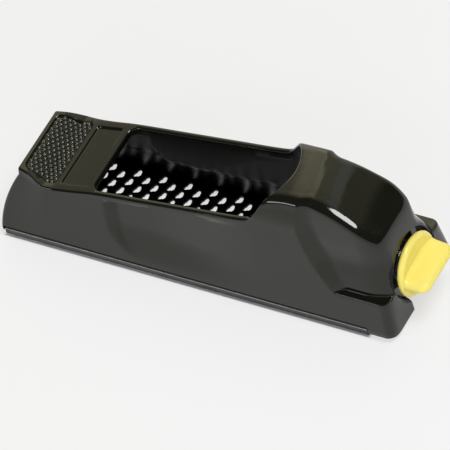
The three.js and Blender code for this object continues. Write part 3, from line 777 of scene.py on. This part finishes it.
placed = add('GeometryNodeSetPosition', {'Geometry': dots.outputs[0], 'Position': spot.outputs[0]})
past_ends = maths('ADD', maths('LESS_THAN', x_at, entry['Front']),
                  maths('GREATER_THAN', x_at, entry['Back']))
wrong = maths('ADD', past_ends, maths('GREATER_THAN', maths('ABSOLUTE', y_at), entry['Half width']))
kept = add('GeometryNodeDeleteGeometry', {'Geometry': placed.outputs[0],
                                          'Selection': maths('GREATER_THAN', wrong, 0.5)})


def repeated(name):
    """A punch shape, put at every place that is kept."""
    shape = add('GeometryNodeObjectInfo', {'Object': entry[name]})
    put = add('GeometryNodeInstanceOnPoints', {'Points': kept.outputs[0],
                                               'Instance': shape.outputs['Geometry']})
    return add('GeometryNodeRealizeInstances', {'Geometry': put.outputs[0]}).outputs[0]


def taken_out(sheet, tools):
    return add('GeometryNodeMeshBoolean', {0: sheet, 1: tools}, operation='DIFFERENCE',
               solver='MANIFOLD').outputs[0]


pierced = taken_out(taken_out(entry['Geometry'], repeated("Ramp")), repeated("Punch"))
down = add('GeometryNodeTransform', {'Geometry': repeated("Tooth"),
                                     'Translation': (0.0, 0.0, -SHEET / 1000)})
whole = add('GeometryNodeJoinGeometry', {0: down.outputs[0]})
tree.links.new(whole.inputs[0], pierced)
real = add('GeometryNodeRealizeInstances', {'Geometry': whole.outputs[0]})
painted = add('GeometryNodeSetMaterial', {'Geometry': real.outputs[0], 'Material': entry['Finish']})
add('NodeGroupOutput', {0: painted.outputs[0]})
grown(blade, tree, {"First x": (FIRST_HOLE[0] - MIDDLE) / 1000, "First y": FIRST_HOLE[1] / 1000,
                    "Row x": ROW_ALONG[0] / 1000, "Row y": ROW_ALONG[1] / 1000,
                    "Step x": ROW_ACROSS[0] / 1000, "Step y": ROW_ACROSS[1] / 1000,
                    "Front": (BLADE_START + PLAIN_END - MIDDLE) / 1000,
                    "Back": (BLADE_END - PLAIN_END - MIDDLE) / 1000,
                    "Half width": ROWS_HALF / 1000, "Sheet top": (SHEET + TOOTH) / 1000,
                    "Punch": punch, "Ramp": ramp, "Tooth": tooth, "Finish": spring_steel})
for tool in (punch, ramp, tooth):
    bpy.data.objects.remove(tool, do_unlink=True)
smooth_faces(blade, 35)
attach(blade, "blade")
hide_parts("rasp_blade")

# Claw, square nut, screw, washer and clip: turned and pressed steel with bright zinc plating, hidden
# inside the hump. The nut sits in the claw's fork and draws it back when the knob turns the screw. The
# plating is pale grey with a faint bluish cast, softly cloudy, and they keep the shapes of the solids.
zinc, tree = new_material("bright_zinc_plated_steel")
place = add('ShaderNodeTexCoord').outputs['Object']
cloud = noise(place, 420.0, 4.0, 0.6)
metal = add('ShaderNodeBsdfPrincipled', {
    'Base Color': blend(cloud, linear("B4B8BB"), linear("D2D5D6")), 'Metallic': 1.0,
    'Roughness': ranged(cloud, 0.3, 0.7, 0.2, 0.36)})
add('ShaderNodeOutputMaterial', {'Surface': metal.outputs['BSDF']})
for node in ("tension_claw", "square_nut", "tension_screw", "thrust_washer", "retaining_clip"):
    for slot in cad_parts[node].material_slots:
        slot.material = zinc

# Thumb knob: yellow moulded plastic, a boss and disc with a flat wing for finger and thumb. The mould
# left full round edges and a soft fillet where the wing grows out of the disc.
DISC_FACE = 150.0
DISC_ROUND = 1.25
KNOB_RADIUS = 11.1
KNOB_TIP = 160.5
WING_ROOT = 151.3
WING_EDGE = 1.7
TIP_ROUND = 1.4
TIP_CORNER = 3.2


def disc_profile():
    points = [(0, 148.6), (5.6, 148.6), (6.0, 148.9), (6.0, 149.7), (6.3, DISC_FACE), (9.9, DISC_FACE)]
    for i in range(1, 9):
        turn = math.pi / 8 * i
        points.append((KNOB_RADIUS - DISC_ROUND + DISC_ROUND * math.sin(turn),
                       DISC_FACE + DISC_ROUND - DISC_ROUND * math.cos(turn)))
    return points + [(9.2, 152.42), (8.2, 152.2), (6.5, 152.0), (4.0, 151.9), (0, 151.9)]


def wing_section(x):
    """The wing's half section: thicker at its root, with full round edges and rounded corners."""
    thick = (mix(2.15, 1.75, clamp((x - 152.5) / 8)) + 1.9 * (1 - clamp((x - WING_ROOT) / 2.6)) ** 2
             - WING_EDGE * quarter((x - (KNOB_TIP - TIP_ROUND)) / TIP_ROUND))
    wide = (mix(10.75, 10.35, clamp((x - 152) / 5))
            - TIP_CORNER * quarter((x - (KNOB_TIP - TIP_CORNER)) / TIP_CORNER)
            - 1.2 * (1 - clamp((x - WING_ROOT) / 1.6)) ** 2)
    thick, flat = max(thick, 0.35), wide - WING_EDGE
    points = [(x, flat * i / 5, AXIS - thick) for i in range(6)]
    for i in range(1, 12):
        turn = math.pi / 12 * i
        points.append((x, flat + WING_EDGE * math.sin(turn), AXIS - thick * math.cos(turn)))
    return points + [(x, flat * (5 - i) / 5, AXIS + thick) for i in range(6)]


knob = turned("knob_moulding", disc_profile(), 128)
cut(knob, loft("wing", [wing_section(x) for x in spread(
    (150.9, 154, 0.2), (154, 157, 0.5), (157, 160.1, 0.2), (160.1, KNOB_TIP, 0.05))]), 'UNION')
cut(knob, turned("screw_seat", [(0, 145), (3.3, 145), (3.3, 150.3), (4.5, 150.3), (4.5, 151.6),
                                (0, 151.6)], 48))
smooth_faces(knob, 38)

# Semi-gloss moulded plastic: a warm lemon yellow all through, light scatters a little way into it, and
# the mould's fine texture (about 0.5 mm) breaks up the shine.
plastic, tree = new_material("moulded_yellow_plastic")
place = add('ShaderNodeTexCoord').outputs['Object']
flow = noise(place, 120.0, 3.0)
skin = add('ShaderNodeBsdfPrincipled', {
    'Base Color': blend(flow, linear("EEDB66"), linear("F1E078")), 'IOR': 1.49,
    'Subsurface Weight': 0.15, 'Subsurface Scale': 0.002, 'Subsurface Radius': (1.0, 0.8, 0.25),
    'Roughness': ranged(flow, 0.3, 0.7, 0.27, 0.33),
    'Normal': bump(noise(place, 2000.0, 2.0), 0.12, 0.0001)})
add('ShaderNodeOutputMaterial', {'Surface': skin.outputs['BSDF']})
knob.data.materials.clear()
knob.data.materials.append(plastic)
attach(knob, "knob")
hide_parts("thumb_knob")

# Studio: a sheet of matt white paper, which gives off part of its own light so that it renders as
# white as the photograph's. That light would hide the shadow under the blade's edges, so it is left out
# in a narrow strip below each of them.
FLOOR_REACH = 4.0
FLOOR_GLOW = 0.7
STRIP_MIDDLE = -0.0097
STRIP_NEAR, STRIP_FAR, STRIP_END = (0.0181, 0.0187), (0.0212, 0.0208), (0.0712, 0.0698)
paper = bpy.data.meshes.new("paper_floor")
corners = ((-1, -1), (1, -1), (1, 1), (-1, 1))
paper.from_pydata([(x * FLOOR_REACH, y * FLOOR_REACH, 0.0) for x, y in corners], [], [(0, 1, 2, 3)])
floor = bpy.data.objects.new("paper_floor", paper)
bpy.context.scene.collection.objects.link(floor)
material, tree = new_material("matt_white_paper")
rays = add('ShaderNodeLightPath').outputs
seen = maths('MAXIMUM', maths('MAXIMUM', rays['Is Camera Ray'], rays['Is Glossy Ray']),
             rays['Is Transmission Ray'])
place = add('ShaderNodeTexCoord').outputs['Object']
spot = add('ShaderNodeSeparateXYZ', {'Vector': place}).outputs
aside = maths('ABSOLUTE', spot['Y'])
ahead = maths('ABSOLUTE', maths('SUBTRACT', spot['X'], STRIP_MIDDLE))
beside_edge = maths('MULTIPLY', ranged(aside, *STRIP_NEAR), ranged(aside, *STRIP_FAR))
strip = maths('MULTIPLY', beside_edge, ranged(ahead, *STRIP_END))
share = maths('MULTIPLY', maths('MULTIPLY', seen, maths('SUBTRACT', 1.0, strip)), FLOOR_GLOW)
matt = add('ShaderNodeBsdfDiffuse', {'Color': linear("E9EAEE")})
glow = add('ShaderNodeEmission', {'Color': linear("F7F6F5"), 'Strength': 1.0})
both = add('ShaderNodeMixShader', {0: share, 1: matt.outputs[0], 2: glow.outputs[0]})
add('ShaderNodeOutputMaterial', {'Surface': both.outputs[0]})
paper.materials.append(material)

# The room that the enamel mirrors: pale to just over the horizon, higher up on the side of a white card,
# dim on the near side, and on the far side banded from warm light at the toe to dark at the heel.
world = bpy.data.worlds.new("studio_room")
bpy.context.scene.world = world
world.use_nodes = True
tree = world.node_tree
tree.nodes.clear()
view = add('ShaderNodeTexCoord').outputs['Generated']
way = add('ShaderNodeSeparateXYZ', {'Vector': view}).outputs
along = ranged(maths('MULTIPLY_ADD', way['Y'], 0.6, way['X']), -1.2, 1.2)
walls = add('ShaderNodeValToRGB', {'Fac': along})
bands = [(0.0, (0.45, 0.43, 0.33)), (0.27, (0.46, 0.44, 0.33)), (0.32, (0.62, 0.59, 0.43)),
         (0.358, (0.90, 0.86, 0.62)), (0.408, (1.5, 1.41, 1.0)), (0.488, (1.5, 1.41, 1.0)),
         (0.504, (1.8, 1.75, 1.25)), (0.525, (1.7, 1.64, 1.15)), (0.542, (0.80, 0.76, 0.54)),
         (0.638, (0.76, 0.73, 0.52)), (0.65, (0.83, 0.89, 0.82)), (0.708, (0.83, 0.88, 0.78)),
         (0.733, (0.33, 0.33, 0.22)), (0.821, (0.36, 0.36, 0.24)), (0.854, (0.19, 0.19, 0.12)),
         (0.883, (0.07, 0.07, 0.05)), (1.0, (0.05, 0.055, 0.04))]
walls.color_ramp.elements[0].color = bands[0][1] + (1.0,)
walls.color_ramp.elements[1].color = bands[-1][1] + (1.0,)
for position, colour in bands[1:-1]:
    walls.color_ramp.elements.new(position).color = colour + (1.0,)
card = ranged(maths('MULTIPLY_ADD', way['Y'], -3.0, way['X']), 2.45, 2.9, 0.0, 0.4)
above = ranged(maths('SUBTRACT', way['Z'], card), 0.08, 0.15)
shaded = blend(ranged(way['Y'], 0.1, 0.38), (0.06, 0.06, 0.05, 1.0), walls.outputs[0])
sky = add('ShaderNodeBackground', {'Color': blend(above, (0.84, 0.84, 0.84, 1.0), shaded), 'Strength': 1.0})
add('ShaderNodeOutputWorld', {'Surface': sky.outputs[0]})

# Lamps: a soft box over the heel, which makes the long highlight on the hump, a wide weak fill from the
# near side that the enamel doesn't mirror, and a small strip from the toe for the edges.
DAYLIGHT = (0.94, 0.965, 1.0)


def soft_box(name, place, target, width, depth, power, mirrored=True):
    """An elliptical area lamp that faces a target."""
    lamp = bpy.data.lights.new(name, 'AREA')
    lamp.shape, lamp.size, lamp.size_y = 'ELLIPSE', width, depth
    lamp.energy, lamp.color = power, DAYLIGHT
    box = bpy.data.objects.new(name, lamp)
    facing = (Vector(target) - Vector(place)).to_track_quat('-Z', 'Y').to_matrix().to_4x4()
    box.matrix_world = Matrix.Translation(place) @ facing
    box.visible_glossy = mirrored
    bpy.context.scene.collection.objects.link(box)


soft_box("overhead_box", (0.52, 0.0, 1.08), (0.02, 0, 0.02), 0.46, 0.52, 10.0)
soft_box("side_fill", (0.9, -1.7, 0.8), (0, 0, 0.02), 1.6, 1.2, 12.0, mirrored=False)
soft_box("edge_strip", (-0.60, -0.96, 0.64), (0, 0, 0.02), 0.5, 0.3, 2.4)

# Camera: a long lens with almost no perspective, from the heel end, about 44 degrees round and 48
# degrees above, with the picture rolled by about 20 degrees.
LENS = 486.946
DISTANCE = 2.0
SHIFT_RIGHT, SHIFT_UP = 0.0004571, -0.0036637
around, above, roll = math.radians(43.7163), math.radians(47.8156), math.radians(19.8911)
right = Vector((math.cos(around), math.sin(around), 0.0))
back = Vector((math.sin(around) * math.cos(above), -math.cos(around) * math.cos(above), math.sin(above)))
up = back.cross(right)
turned_right = math.cos(roll) * right - math.sin(roll) * up
turned_up = math.sin(roll) * right + math.cos(roll) * up
aim = Vector(((78.0 - MIDDLE) / 1000, 0.0, (15.0 + TOOTH) / 1000))
eye = aim + turned_right * SHIFT_RIGHT + turned_up * SHIFT_UP + back * DISTANCE
lens = bpy.data.cameras.new("long_lens")
lens.lens, lens.sensor_width, lens.sensor_fit = LENS, 36.0, 'HORIZONTAL'
lens.clip_start, lens.clip_end = 0.05, 50.0
camera = bpy.data.objects.new("long_lens", lens)
camera.matrix_world = Matrix(((turned_right.x, turned_up.x, back.x, eye.x),
                              (turned_right.y, turned_up.y, back.y, eye.y),
                              (turned_right.z, turned_up.z, back.z, eye.z), (0.0, 0.0, 0.0, 1.0)))
bpy.context.scene.collection.objects.link(camera)
bpy.context.scene.camera = camera
bpy.context.scene.view_settings.view_transform = 'Standard'

bpy.context.view_layer.update()
